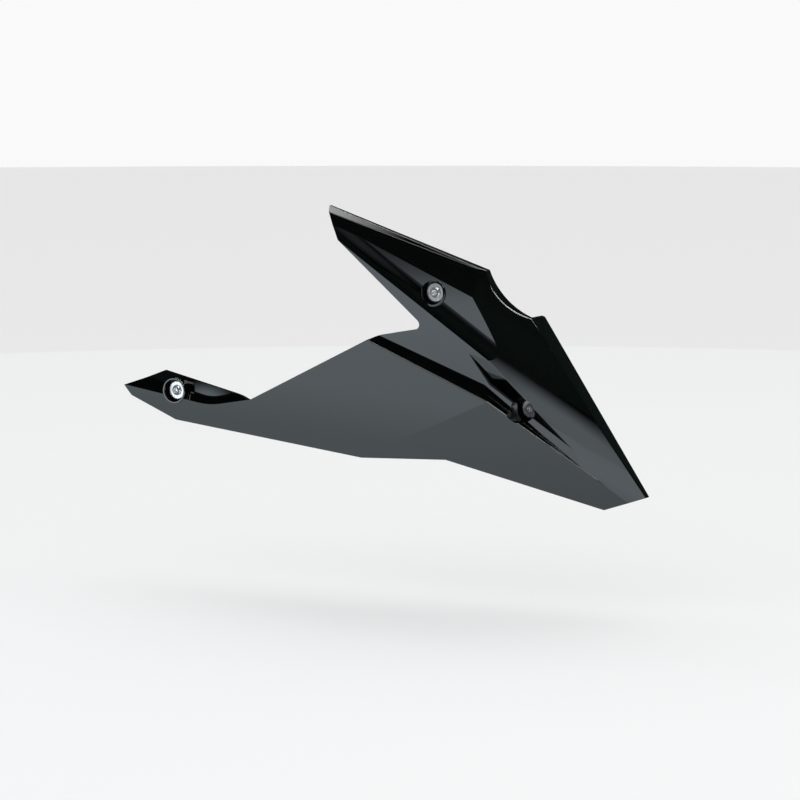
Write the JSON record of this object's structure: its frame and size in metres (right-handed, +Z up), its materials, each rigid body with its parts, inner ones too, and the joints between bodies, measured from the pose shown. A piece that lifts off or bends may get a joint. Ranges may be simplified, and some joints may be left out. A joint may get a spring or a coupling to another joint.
{
  "type": "motorcycle belly pan side panel",
  "caption": "Faceted gloss black belly pan panel for the right side of a motorcycle, with a scooped arm, ridge, slot, ledge and tail tab, held by screws in rubber-mounted wells.",
  "frame": {"origin": "on the upper screw's axis, on the sleeve face that bears on the vehicle", "axes": "+X forward, +Y inboard along the screws, +Z up"},
  "size_m": [0.5965, 0.0975, 0.301],
  "materials": {
    "panel_plastic": "gloss",
    "fixing_steel": "satin",
    "sleeve_steel": "satin",
    "grommet_rubber": "matt"
  },
  "bodies": {
    "root": {"side_panel": "panel_plastic", "upper_screw": "fixing_steel", "upper_washer": "fixing_steel", "upper_grommet": "grommet_rubber", "upper_sleeve": "sleeve_steel", "lower_screw": "fixing_steel", "lower_washer": "fixing_steel", "lower_grommet": "grommet_rubber", "lower_sleeve": "sleeve_steel", "rear_screw": "fixing_steel", "rear_washer": "fixing_steel", "rear_grommet": "grommet_rubber", "rear_sleeve": "sleeve_steel"}
  },
  "joints": []
}
